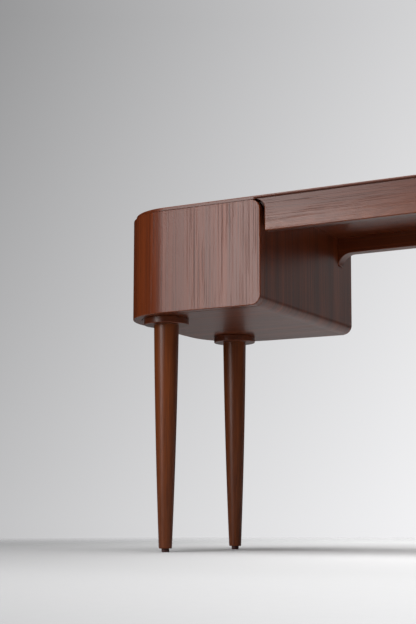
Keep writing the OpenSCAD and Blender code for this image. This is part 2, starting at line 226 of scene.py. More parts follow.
def finish_piece(bm, node, grain, look, place, seed):
    """Writes the grain, puts the mesh in place, and lets it stand for the CAD node."""
    body, slot, material = look
    layer = bm.loops.layers.float_vector.new("grain")
    shift = GRAIN_SHIFT * seed
    for face in bm.faces:
        centre = face.calc_center_median()
        for loop in face.loops:
            loop[layer] = Vector(grain(loop.vert.co, centre)) + shift
        face.smooth = True
    for vert in bm.verts:
        vert.co = place(*vert.co)
    bmesh.ops.recalc_face_normals(bm, faces=bm.faces)
    if bm.calc_volume(signed=True) < 0:
        bmesh.ops.reverse_faces(bm, faces=bm.faces)
    for edge in bm.edges:
        edge.smooth = edge.calc_face_angle(0.0) < SHARP_ANGLE
    piece = new_object(bm, "v_" + node, material)
    weighted = piece.modifiers.new("weighted", "WEIGHTED_NORMAL")
    weighted.weight = 80
    weighted.keep_sharp = True
    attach(piece, body)
    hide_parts(node)


def cut_at(bm, planes):
    """Cuts the mesh across at each u, so that it can bend there."""
    for u in planes:
        geometry = list(bm.verts) + list(bm.edges) + list(bm.faces)
        bmesh.ops.bisect_plane(bm, geom=geometry, dist=NO_LENGTH, plane_co=(u, 0, 0),
                               plane_no=(1, 0, 0))


def slab(node, outline, depth, place, grain, look, near=ARRIS, far=ARRIS,
         near_k=everywhere, far_k=everywhere, cuts=(), seed=0, rings=None):
    """A panel that stands for one CAD node. look is (body, slot, material); its slot is not used.
    """
    bm = loft(rings or slab_rings(outline, depth, near, far, near_k, far_k))
    cut_at(bm, cuts)
    finish_piece(bm, node, grain, look, place, seed)


def spin(profile, steps=LATHE_STEPS, flutes=None):
    """Rings for the loft, from a profile of (radius, height, edge mark) turned round an axis."""
    rings = []
    for r, h, worn_highlit in profile:
        ring = []
        for i in range(steps):
            a = 2 * math.pi * i / steps
            radius = r - (flutes(h, i) if flutes else 0.0)
            ring.append((radius * math.cos(a), radius * math.sin(a), h, worn_highlit))
        rings.append(ring)
    return rings


def lathe(node, profile, place, grain, look, closed=False, flutes=None, seed=0):
    """A turned piece that stands for one CAD node. look is (body, slot, material); its slot is not
    used.
    """
    finish_piece(loft(spin(profile, flutes=flutes), closed), node, grain, look, place, seed)


def turned(points, edge=0.001):
    """Profile for the lathe through (radius, height) corners, the sharp ones rounded."""
    first, last = points[0], points[-1]
    corners = [(0.0, first[1], 0)] + [(r, h, edge) for r, h in points] + [(0.0, last[1], 0)]
    return [p for p in fillet(corners, steps=4) if p[0] > NO_LENGTH]


# ---- Material helpers -----------------------------------------------------------

class Graph:
    """A small builder for the nodes of a material, or of the world."""

    def __init__(self, owner):
        owner.use_nodes = True
        self.owner = owner
        self.tree = owner.node_tree
        self.shader = self.tree.nodes.get("Principled BSDF")

    def put(self, socket, value):
        if isinstance(value, bpy.types.NodeSocket):
            self.tree.links.new(value, socket)
        else:
            socket.default_value = value

    def node(self, kind, inputs=(), **settings):
        made = self.tree.nodes.new(kind)
        for key, value in settings.items():
            setattr(made, key, value)
        for key, value in dict(inputs).items():
            self.put(made.inputs[key], value)
        return made

    def attribute(self, name, output="Vector"):
        return self.node("ShaderNodeAttribute", attribute_name=name).outputs[output]

    def math(self, operation, a, b=0.0):
        return self.node("ShaderNodeMath", {0: a, 1: b}, operation=operation).outputs[0]

    def vector(self, operation, a, b):
        return self.node("ShaderNodeVectorMath", {0: a, 1: b}, operation=operation).outputs[0]

    def noise(self, coords, scale, detail=2.0, roughness=0.5, output=0):
        """Noise whose scale may differ along the three axes."""
        stretched = self.vector("MULTIPLY", coords, scale)
        inputs = {"Vector": stretched, "Scale": 1.0, "Detail": detail, "Roughness": roughness}
        return self.node("ShaderNodeTexNoise", inputs).outputs[output]

    def band(self, value, low, high, to_low=0.0, to_high=1.0, curve="SMOOTHSTEP"):
        inputs = {0: value, 1: low, 2: high, 3: to_low, 4: to_high}
        return self.node("ShaderNodeMapRange", inputs, interpolation_type=curve).outputs[0]

    def mix(self, factor, a, b, blend="MIX"):
        made = self.node("ShaderNodeMix", data_type="RGBA", blend_type=blend)
        self.put(made.inputs[0], factor)
        self.put(made.inputs[6], a)
        self.put(made.inputs[7], b)
        return made.outputs[2]

    def ramp(self, factor, stops):
        made = self.node("ShaderNodeValToRGB", {0: factor})
        elements = made.color_ramp.elements
        while len(elements) < len(stops):
            elements.new(0.5)
        for element, (position, colour) in zip(elements, stops):
            element.position = position
            element.color = colour
        return made.outputs[0]

    def bump(self, height, strength, distance):
        inputs = {"Height": height, "Strength": strength, "Distance": distance}
        return self.node("ShaderNodeBump", inputs).outputs[0]

    def surface(self, **inputs):
        for key, value in inputs.items():
            self.put(self.shader.inputs[key.replace("_", " ")], value)
        return self.owner

    def shader_mix(self, factor, first, second):
        """Sends a mix of two shaders to the surface."""
        mixed = self.node("ShaderNodeMixShader", {0: factor, 1: first, 2: second})
        self.put(self.tree.nodes["Material Output"].inputs["Surface"], mixed.outputs[0])

    def seen(self):
        """1 for rays that the camera or the mirror glass sends out, and 0 for all others."""
        path = self.node("ShaderNodeLightPath").outputs
        return self.math("MAXIMUM", path["Is Camera Ray"], path["Is Singular Ray"])


def new_material(name):
    return Graph(bpy.data.materials.new(name))


def rgb(r, g, b):
    return (r, g, b, 1.0)


def wood(name, dark, middle, light, pore, arris, rough, figure=1.0, pores=1.0, shine=0.42):
    """Satin lacquered wood. The attribute grain runs along its third part.

    The scales of the noises are in cycles per metre, across the grain twice and then along it.
    """
    g = new_material(name)
    raw = g.attribute("grain")
    wander = g.noise(raw, (4.0, 4.0, 1.6), 1.0, 0.4, output=1)
    wander = g.vector("SUBTRACT", wander, (0.5, 0.5, 0.5))
    wander = g.vector("MULTIPLY", wander, (0.003, 0.003, 0.0))
    coords = g.vector("ADD", raw, wander)
    ribbon = g.noise(coords, (34.0, 34.0, 0.7), 2.0, 0.5)
    stripes = g.noise(coords, (290.0, 290.0, 0.6), 2.0, 0.65)
    lines = g.noise(coords, (430.0, 430.0, 2.2), 2.0, 0.6)
    fibre = g.noise(coords, (620.0, 620.0, 9.0), 2.0, 0.6)
    vessel = g.noise(coords, (650.0, 650.0, 5.0), 1.0, 0.5)
    drift = g.noise(raw, (3.0, 3.0, 2.0), 1.0, 0.5)
    tone = g.math("MULTIPLY", ribbon, 0.35 * figure)
    tone = g.math("ADD", tone, g.math("MULTIPLY", stripes, 0.40 * figure))
    tone = g.math("ADD", tone, g.math("MULTIPLY", lines, 0.25 * figure))
    tone = g.math("ADD", tone, 0.5 - 0.5 * figure)
    colour = g.ramp(tone, [(0.37, dark), (0.50, middle), (0.63, light)])
    warm = g.band(drift, 0.30, 0.70, 0.90, 1.10)
    colour = g.mix(1.0, colour, warm, "MULTIPLY")
    dashes = g.band(vessel, 0.60, 0.68)
    streaks = g.band(stripes, 0.58, 0.70)
    open_pores = g.math("MULTIPLY", dashes, g.band(ribbon, 0.35, 0.6, 0.35, 1.0))
    colour = g.mix(g.math("MULTIPLY", open_pores, 0.55 * pores), colour, pore)
    colour = g.mix(g.math("MULTIPLY", streaks, 0.34 * pores), colour, pore)
    fleck = g.band(fibre, 0.30, 0.70, 0.95, 1.05)
    colour = g.mix(1.0, colour, fleck, "MULTIPLY")
    # Rounded edges take the lighter orange arris colour in patches: partly edges scuffed by
    # handling, partly a painted highlight for light caught on the rounded arrises.
    edge_patches = g.noise(raw, (90.0, 90.0, 40.0), 2.0, 0.6)
    worn_highlit = g.math("MULTIPLY", g.attribute("wear_and_highlight", "Fac"), g.band(edge_patches, 0.25, 0.75, 0.35, 0.85))
    colour = g.mix(worn_highlit, colour, arris)
    gloss = g.band(lines, 0.25, 0.75, rough - 0.02, rough + 0.03)
    gloss = g.math("ADD", gloss, g.math("MULTIPLY", open_pores, 0.10))
    gloss = g.math("SUBTRACT", gloss, g.math("MULTIPLY", worn_highlit, 0.08))
    height = g.math("MULTIPLY", fibre, 0.35)
    height = g.math("ADD", height, g.math("MULTIPLY", lines, 0.5))
    height = g.math("SUBTRACT", height, g.math("MULTIPLY", open_pores, 0.9))
    return g.surface(Base_Color=colour, Roughness=gloss, Normal=g.bump(height, 0.30, 0.00035),
                     Specular_IOR_Level=shine)


PLY_PAIR_T = 0.003      # a light and a dark ply together


def ply(name, face, line, dark_line, rough):
    """Lacquered plywood: its plies show as lines across the thickness, the grain's second part."""
    g = new_material(name)
    raw = g.attribute("grain")
    depth = g.node("ShaderNodeSeparateXYZ", {0: raw}).outputs[1]
    wander = g.noise(raw, (6.0, 6.0, 1.6), 1.0, 0.4, output=1)
    wander = g.vector("MULTIPLY", g.vector("SUBTRACT", wander, (0.5, 0.5, 0.5)), (0.02, 0.0, 0.0))
    coords = g.vector("ADD", raw, wander)
    lines = g.noise(coords, (160.0, 160.0, 5.0), 3.0, 0.6)
    colour = g.ramp(lines, [(0.3, line), (0.62, face)])
    flecks = g.band(g.noise(coords, (800.0, 800.0, 130.0), 1.0, 0.5), 0.62, 0.70)
    colour = g.mix(g.math("MULTIPLY", flecks, 0.5), colour, dark_line)
    wave = g.math("SINE", g.math("MULTIPLY", depth, 2 * math.pi / PLY_PAIR_T))
    plies = g.band(wave, -0.2, 0.4, 0.72, 1.0)
    colour = g.mix(1.0, colour, plies, "MULTIPLY")
    gloss = g.band(lines, 0.3, 0.7, rough - 0.05, rough + 0.05)
    return g.surface(Base_Color=colour, Roughness=gloss, Normal=g.bump(lines, 0.2, 0.0003))


def metal(name, bright, dull, rough, stretch):
    """Brushed or plated metal, brushed along the axis with the smallest stretch."""
    g = new_material(name)
    raw = g.node("ShaderNodeTexCoord").outputs["Object"]
    brushed = g.noise(raw, stretch, 3.0, 0.6)
    cloud = g.noise(raw, (45.0, 45.0, 45.0), 2.0, 0.5)
    colour = g.mix(g.band(cloud, 0.3, 0.7), bright, dull)
    gloss = g.band(brushed, 0.3, 0.7, rough - 0.07, rough + 0.09)
    return g.surface(Base_Color=colour, Metallic=1.0, Roughness=gloss,
                     Normal=g.bump(brushed, 0.15, 0.0001))


def mirror_silver():
    g = new_material("mirror_silver")
    raw = g.node("ShaderNodeTexCoord").outputs["Object"]
    haze = g.noise(raw, (14.0, 14.0, 14.0), 3.0, 0.6)
    colour = g.mix(g.band(haze, 0.45, 0.75), rgb(0.90, 0.92, 0.92), rgb(0.86, 0.89, 0.88))
    return g.surface(Base_Color=colour, Metallic=1.0, Roughness=0.0)


def nylon():
    g = new_material("glide_nylon")
    raw = g.node("ShaderNodeTexCoord").outputs["Object"]
    speck = g.noise(raw, (700.0, 700.0, 700.0), 2.0, 0.6)
    scuff = g.noise(raw, (120.0, 120.0, 600.0), 2.0, 0.5)
    colour = g.mix(g.band(speck, 0.3, 0.7), rgb(0.045, 0.0095, 0.0075), rgb(0.075, 0.0165, 0.0115))
    gloss = g.band(scuff, 0.35, 0.65, 0.42, 0.60)
    return g.surface(Base_Color=colour, Roughness=gloss, Normal=g.bump(speck, 0.2, 0.0001))


def felt():
    g = new_material("felt_pad")
    raw = g.node("ShaderNodeTexCoord").outputs["Object"]
    hair = g.noise(raw, (2400.0, 2400.0, 2400.0), 3.0, 0.7)
    colour = g.mix(g.band(hair, 0.3, 0.7), rgb(0.014, 0.011, 0.009), rgb(0.055, 0.044, 0.036))
    return g.surface(Base_Color=colour, Roughness=0.95, Sheen_Weight=0.5,
                     Normal=g.bump(hair, 0.8, 0.0004))


# arris: a lighter orange for rounded edges, partly scuffing and partly a painted highlight
VENEER = wood("veneer_satin", dark=rgb(0.070, 0.0130, 0.0030), middle=rgb(0.112, 0.0215, 0.0052),
              light=rgb(0.160, 0.0330, 0.0088), pore=rgb(0.020, 0.0050, 0.0026),
              arris=rgb(0.185, 0.042, 0.010), rough=0.31, shine=0.41)
# The pods' undersides and inner sides, with a livelier figure
SHADED = wood("veneer_underside", dark=rgb(0.058, 0.0110, 0.0024),
              middle=rgb(0.110, 0.0210, 0.0048), light=rgb(0.182, 0.0390, 0.0105),
              pore=rgb(0.016, 0.0040, 0.0022), arris=rgb(0.185, 0.042, 0.010), rough=0.32,
              figure=1.5, pores=1.3, shine=0.40)
RAIL = wood("rail_satin", dark=rgb(0.058, 0.0110, 0.0030), middle=rgb(0.092, 0.0185, 0.0050),
            light=rgb(0.132, 0.0285, 0.0085), pore=rgb(0.018, 0.0050, 0.0028),
            arris=rgb(0.185, 0.042, 0.010), rough=0.33, figure=0.9, shine=0.37)
TURNED = wood("turned_satin", dark=rgb(0.082, 0.0185, 0.0038), middle=rgb(0.128, 0.0300, 0.0062),
              light=rgb(0.182, 0.0450, 0.0098), pore=rgb(0.032, 0.0080, 0.0032),
              arris=rgb(0.190, 0.048, 0.014), rough=0.35, pores=0.9, shine=0.32)
# A darker copy of the turned wood for the collars that sit under the pods: painted shade.
COLLAR_PAINTED_SHADE = wood("collar_satin_painted_shade", dark=rgb(0.052, 0.0105, 0.0028), middle=rgb(0.088, 0.0185, 0.0046),
              light=rgb(0.128, 0.0280, 0.0072), pore=rgb(0.018, 0.0045, 0.0022),
              arris=rgb(0.150, 0.034, 0.009), rough=0.34, figure=1.1, pores=0.9, shine=0.30)
HIDDEN = wood("stained_hardwood", dark=rgb(0.050, 0.0130, 0.0050),
              middle=rgb(0.075, 0.0200, 0.0080), light=rgb(0.105, 0.0310, 0.0130),
              pore=rgb(0.018, 0.0050, 0.0030), arris=rgb(0.11, 0.030, 0.010), rough=0.55)
BEECH = ply("beech_plywood", face=rgb(0.52, 0.33, 0.19), line=rgb(0.43, 0.26, 0.14),
            dark_line=rgb(0.26, 0.13, 0.06), rough=0.45)
BACKING = ply("stained_plywood", face=rgb(0.11, 0.045, 0.022), line=rgb(0.075, 0.030, 0.015),
              dark_line=rgb(0.035, 0.014, 0.008), rough=0.55)
STEEL = metal("zinc_plated_steel", bright=rgb(0.62, 0.63, 0.65), dull=rgb(0.50, 0.51, 0.54),
              rough=0.34, stretch=(900.0, 12.0, 900.0))
BRASS = metal("satin_brass", bright=rgb(0.72, 0.50, 0.23), dull=rgb(0.62, 0.41, 0.17),
              rough=0.27, stretch=(60.0, 1400.0, 1400.0))
SILVER = mirror_silver()
NYLON = nylon()
FELT = felt()


# ---- Grain directions: each takes a point of the unplaced mesh and its face's centre ----

def grain_along_u(p, centre):
    return p.y, p.z, p.x


def grain_along_v(p, centre):
    return p.x, p.z, p.y


def grain_along_w(p, centre):
    return p.x, p.y, p.z


def grain_round(p, centre):
    """Round a ring, with no seam inside a face."""
    middle = math.atan2(centre.y, centre.x)
    turn = math.remainder(math.atan2(p.y, p.x) - middle, 2 * math.pi)
    radius = math.hypot(p.x, p.y)
    return radius, p.z, (middle + turn) * radius


# ---- The top and what hangs from it ---------------------------------------------

def rectangle(u0, v0, u1, v1, r):
    return [(u0, v0, r), (u1, v0, r), (u1, v1, r), (u0, v1, r)]


def table_top():
    lo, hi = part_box("table_top")
    tangent = cad_box[1].x - CORNER_R
    notch = FASCIA_HALF + FRONT_R - 0.006   # the fascia meets the lip as far out as this
    run_out = 0.012     # length over which the lip's rounding begins beside the fascia
    outer_r = CORNER_R - TOP_INSET
    seam = 0.0002       # keeps the marks on the back line off the corner's first point
    gap = 0.0015        # between the thick core and the drawer fronts
    lip_arris = 0.0004
    near_line = 1e-4

    def plan(x, y0, y1, r0, r1):
        front = [(u, y0, 0) for u in (-notch - run_out, -notch, notch, notch + run_out)]
        rear = [(tangent - seam, hi.y, 0), (-tangent + seam, hi.y, 0)]
        corners = [(-x, y0, r0), *front, (x, y0, r0), (x, y1, r1), *rear, (-x, y1, r1)]
        return fillet(corners, PLAN_STEPS)

    outer = plan(hi.x, lo.y, hi.y, outer_r, outer_r)
    core_x = cad_box[1].x - WALL_T
    core_r = CORNER_R - WALL_T
    core = plan(core_x - gap, lo.y + WALL_T + gap, hi.y - WALL_T, core_r - gap, core_r)

    def free_edge(u, v):
        """The lip is rounded below, except where the fascia or the back meets it."""
        if v > hi.y - near_line and abs(u) < tangent:
            return 0.0
        return 0.0 if v < lo.y + near_line and abs(u) < notch + near_line else 1.0

    depth = hi.z - lo.z
    rings = slab_rings(outer, LIP_T, ARRIS, lip_arris, everywhere, free_edge)
    rings.append([(u, v, LIP_T, 0.0) for u, v, _ in core])
    rings.append([(u, v, depth, 0.0) for u, v, _ in core])
    slab("table_top", outer, depth, lambda u, v, w: (u, v, hi.z - w),
         lambda p, c: (p.y, hi.z - p.z, p.x), ("table", "veneer", VENEER), rings=rings)


def front_fascia():
    lo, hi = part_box("front_fascia")
    centre_x = FASCIA_HALF + FRONT_R
    centre_z = hi.z - FRONT_R
    end_angle = math.acos((centre_x - hi.x) / FRONT_R)
    foot_r = 0.003
    flat_h = 0.0006     # the front's edge stays sharp over this height below the lip
    ease_h = 0.018      # and gets its full rounding over this one
    arc = []
    for k in range(ARC_STEPS + 1):
        a = end_angle * k / ARC_STEPS
        arc.append((centre_x - FRONT_R * math.cos(a), centre_z + FRONT_R * math.sin(a), 0.0))
    foot = [(0.0, lo.z, 0), (FASCIA_HALF, lo.z, foot_r), (FASCIA_HALF, centre_z, 0)]
    corner = fillet(foot, steps=5)
    right = corner[1:-1] + arc + [(hi.x, hi.z, 0.0)]
    left = [(-u, v, worn_highlit) for u, v, worn_highlit in reversed(right)]

    def front_edge(u, v):
        """Eased below and beside the drawer, and not at all where the lip is."""
        return min(1.0, max(0.0, (hi.z - flat_h - v) / ease_h)) ** 0.7

    def back_edge(u, v):
        return 0.0 if v > centre_z else 1.0

    slab("front_fascia", left + right, hi.y - lo.y, lambda u, v, w: (u, lo.y + w, v),
         lambda p, c: (lo.y + p.z, p.y, p.x), ("table", "veneer", RAIL), near=0.0024,
         far=0.001, near_k=front_edge, far_k=back_edge)


def rails():
    lo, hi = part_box("front_inner_rail")
    slab("front_inner_rail", fillet(rectangle(lo.x, lo.z, hi.x, hi.z, 0.001), steps=3), hi.y - lo.y,
         lambda u, v, w: (u, lo.y + w, v), grain_along_u, ("table", "hidden_wood", HIDDEN),
         near=0.0, far=0.001, seed=5)
    lo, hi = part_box("rear_rail")
    tuck = 0.002        # how far the brackets' ends reach into the pods
    centre_x = hi.x - BRACKET_R
    steps = 2 * ARC_STEPS
    arc = []
    for k in range(steps + 1):
        a = math.pi / 2 * k / steps
        arc.append((centre_x + BRACKET_R * math.cos(a), lo.z + BRACKET_R * math.sin(a), 0.0))
    right = [(hi.x + tuck, hi.z, 0.0), (hi.x + tuck, lo.z, 0.0)] + arc
    left = [(-u, v, worn_highlit) for u, v, worn_highlit in reversed(right)]

    def lower_edge(u, v):
        return 1.0 if v < hi.z - 0.01 and abs(u) < hi.x - 0.001 else 0.0

    slab("rear_rail", right + left, hi.y - lo.y, lambda u, v, w: (u, lo.y + w, v), grain_along_u,
         ("table", "veneer", VENEER), near=0.0016, far=0.0016, near_k=lower_edge,
         far_k=lower_edge, seed=7)


# ---- Pods and drawers, for the left side (1) and mirrored for the right (-1) ----

def paired_seed(side, left):
    """The seed of the left piece, or the next one for its mirror image."""
    return left if side > 0 else left + 1


def pod(side, word):
    look = ("table", "veneer", VENEER)
    shaded = ("table", "veneer", SHADED)
    end, tangent = cad_box[0].x, cad_box[0].x + CORNER_R
    lo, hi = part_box("left_pod_end_wall")
    wrap_y = hi.y - CORNER_R
    bend = CORNER_R * math.pi / 2

    def wall_place(s, z, w):
        if s <= 0:
            return side * (end + w), wrap_y + s, z
        a, r = s / CORNER_R, CORNER_R - w
        return side * (tangent - r * math.cos(a)), wrap_y + r * math.sin(a), z

    wall = fillet(rectangle(lo.y - wrap_y, lo.z, bend, hi.z, 0.0008), steps=3)
    slab(f"{word}_pod_end_wall", wall, WALL_T, wall_place, grain_along_v, look,
         near=0.0015, far=0.0006, near_k=lambda s, z: 0.0 if s > bend - 0.0005 else 1.0,
         cuts=[bend * k / BEND_CUTS for k in range(BEND_CUTS)], seed=paired_seed(side, 11))

    lo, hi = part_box("left_pod_back")
    outline = fillet(rectangle(lo.x, lo.z, hi.x, hi.z, 0.0006), steps=3)
    slab(f"{word}_pod_back", outline, hi.y - lo.y, lambda u, v, w: (side * u, hi.y - w, v),
         grain_along_v, look, near=0.0004, far=0.0006, seed=paired_seed(side, 13))

    lo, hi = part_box("left_pod_bottom")
    r = CORNER_R - WALL_T
    corners = [(hi.x, lo.y, 0), (hi.x, hi.y, 0), (lo.x, hi.y, r), (lo.x, lo.y, r)]
    outline = fillet(corners, PLAN_STEPS)
    # The grain runs on from the inner side, round its lower edge
    run = SIDE_R * math.pi / 2
    offset = lo.z + SIDE_R - run - hi.x
    slab(f"{word}_pod_bottom", outline, hi.z - lo.z, lambda u, v, w: (side * u, v, lo.z + w),
         lambda p, c: (p.y, p.z, p.x + offset), shaded, near=0.0, far=0.0005,
         seed=paired_seed(side, 15))

    lo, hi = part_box("left_pod_inner_side")

    def side_grain(p, c):
        if p.y >= lo.z + SIDE_R:
            return p.z + lo.y, hi.x - p.x, p.y
        a = math.atan2(p.x - lo.x, lo.z + SIDE_R - p.y)
        out = math.hypot(p.x - lo.x, lo.z + SIDE_R - p.y)
        return p.z + lo.y, SIDE_R - out, lo.z + SIDE_R - SIDE_R * (math.pi / 2 - a)

    def inner_edge(u, v):
        return 1.0 if u > lo.x + 0.001 and v < hi.z - 0.001 else 0.0

    corners = [(lo.x, lo.z, 0), (hi.x, lo.z, SIDE_R), (hi.x, hi.z, 0), (lo.x, hi.z, 0)]
    outline = fillet(corners, steps=16)
    slab(f"{word}_pod_inner_side", outline, hi.y - lo.y,
         lambda u, v, w: (side * u, lo.y + w, v), side_grain, shaded, near=0.0008, far=0.005,
         far_k=inner_edge,
         seed=paired_seed(side, 15))


def drawer_front(side, word):
    lo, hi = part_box("left_drawer_front")
    tangent = cad_box[0].x + CORNER_R
    wrap_y = lo.y + CORNER_R

    def place(s, z, w):
        if s >= 0:
            return side * (tangent + s), lo.y + w, z
        a, r = -s / CORNER_R, CORNER_R - w
        return side * (tangent - r * math.sin(a)), wrap_y - r * math.cos(a), z

    end = -CORNER_R * math.pi / 2
    right = hi.x - tangent
    outline = fillet([(end, lo.z, 0.001), (right, lo.z, FRONT_R), (right, hi.z, FRONT_R),
                      (end, hi.z, 0.001)], steps=16)

    def front_edge(s, z):
        """Eased less along the top, under the lip."""
        return 0.3 if z > hi.z - 0.001 else 1.0

    slab(f"{word}_drawer_front", outline, WALL_T, place, grain_along_v,
         (f"{word}_drawer", "veneer", VENEER), near=0.0018, far=0.0015, near_k=front_edge,
         cuts=[end * k / BEND_CUTS for k in range(BEND_CUTS)], seed=paired_seed(side, 21))


def drawer_box(side, word):
    look = (f"{word}_drawer", "drawer_wood", BEECH)
    edge = 0.0008
    bend_x, bend_y = cad_box[0].x + CORNER_R, cad_box[0].y + CORNER_R
    glue_line = 0.0002
    inner_r = CORNER_R - WALL_T - glue_line

    def bend_front(x):
        """Where the inside of the bent drawer front is, at x."""
        return bend_y - math.sqrt(inner_r ** 2 - (bend_x - x) ** 2)

    def upright_grain(p, centre):
        """Along v, in a board that stands on edge."""
        return p.z, p.x, p.y

    def cross_grain(p, centre):
        """Along u, in a board that stands on edge."""
        return p.z, p.y, p.x

    def plan_slab(part, outline, grain, seed):
        lo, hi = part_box(f"left_drawer_{part}")
        slab(f"{word}_drawer_{part}", fillet(outline, steps=3), hi.z - lo.z,
             lambda u, v, w: (side * u, v, lo.z + w), grain, look, near=edge, far=edge, seed=seed)

    lo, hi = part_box("left_drawer_outer_side")
    outline = [(lo.x, bend_front(lo.x), edge), (hi.x, bend_front(hi.x), edge),
               (hi.x, hi.y, edge), (lo.x, hi.y, edge)]
    plan_slab("outer_side", outline, upright_grain, seed=31)
    lo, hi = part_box("left_drawer_inner_side")
    plan_slab("inner_side", rectangle(lo.x, lo.y, hi.x, hi.y, edge), upright_grain, seed=33)
    lo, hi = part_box("left_drawer_back")
    plan_slab("back", rectangle(lo.x, lo.y, hi.x, hi.y, edge), cross_grain, seed=35)
    lo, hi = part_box("left_drawer_bottom")
    curve = []
    steps = 8
    for k in range(steps + 1):
        x = lo.x + (bend_x - lo.x) * k / steps
        curve.append((x, bend_front(x), 0))
    outline = curve + [(hi.x, lo.y, 0), (hi.x, hi.y, 0), (lo.x, hi.y, 0)]
    plan_slab("bottom", outline, grain_along_u, seed=37)


# ---- Legs -----------------------------------------------------------------------

def leg_set(corner, seed):
    """A leg with its collar and its glide."""
    lo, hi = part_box(f"{corner}_leg")
    x, y = (lo.x + hi.x) / 2, (lo.y + hi.y) / 2
    top_r = (hi.x - lo.x) / 2

    def place(u, v, w):
        return x + u, y + v, w

    heel_h = 0.0014     # the foot's edge is eased over this height
    profile = [(LEG_FOOT_R - 0.0012, lo.z, 0.0), (LEG_FOOT_R - 0.0004, lo.z + 0.0004, 1.0)]
    steps = 40
    for k in range(steps + 1):
        t = k / steps
        r = LEG_FOOT_R + (top_r - LEG_FOOT_R) * t + 4 * LEG_SWELL * t * (1 - t)
        z = lo.z + heel_h + (hi.z - lo.z - heel_h) * t
        profile.append((r, z, 0.0))
    lathe(f"{corner}_leg", profile, place, grain_along_w, ("table", "turned_wood", TURNED),
          seed=seed)

    lo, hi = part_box(f"{corner}_collar")
    r = (hi.x - lo.x) / 2
    lathe(f"{corner}_collar", turned([(r, lo.z), (r, hi.z)], 0.0016), place,
          grain_along_u, ("table", "turned_wood", COLLAR_PAINTED_SHADE), seed=seed + 5)

    lo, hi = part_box(f"{corner}_glide")
    r = (hi.x - lo.x) / 2
    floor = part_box(f"{corner}_leg")[0].z
    lathe(f"{corner}_glide", turned([(r, lo.z), (r, floor)], 0.0018), place, grain_along_w,
          ("table", "glide", NYLON))


# ---- Mirror ---------------------------------------------------------------------

def mirror():
    lo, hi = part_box("mirror_frame")
    x, z = (lo.x + hi.x) / 2, (lo.z + hi.z) / 2
    outer = (hi.x - lo.x) / 2
    glass_lo, glass_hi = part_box("mirror_glass")
    glass_r = (glass_hi.x - glass_lo.x) / 2
    slack = 0.0003
    rebate = glass_r + slack
    inner = glass_r - MIRROR_LIP_W + slack
    bevel_w, bevel_t = 0.009, 0.0014    # how far inside the lip the bevel starts, and its depth

    def place(u, v, w):
        return x + u, w, z + v

    corners = [(inner, lo.y, 0.0016), (outer, lo.y, 0.0050), (outer, hi.y, 0.0030),
               (rebate, hi.y, 0.0006), (rebate, glass_lo.y, 0), (inner, glass_lo.y, 0)]
    lathe("mirror_frame", fillet(corners, steps=8), place, grain_round,
          ("mirror", "turned_wood", TURNED), closed=True, seed=41)

    profile = [(inner - bevel_w, glass_lo.y, 0), (glass_r, glass_lo.y + bevel_t, 0),
               (glass_r, glass_hi.y, 0)]
    lathe("mirror_glass", profile, place, grain_along_w, ("mirror", "mirror_silver", SILVER))

    lo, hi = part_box("mirror_back_board")
    lathe("mirror_back_board", turned([(glass_r, lo.y), (glass_r, hi.y)], 0.0006), place,
          grain_along_v, ("mirror", "back_board", BACKING), seed=43)


def circle_verts(bm, x, z, r):
    """New vertices on a circle about the point (x, 0, z), square to X."""
    ring = []
    for i in range(BORE_STEPS):
        a = 2 * math.pi * i / BORE_STEPS
        ring.append(bm.verts.new((x, r * math.cos(a), z + r * math.sin(a))))
    return ring


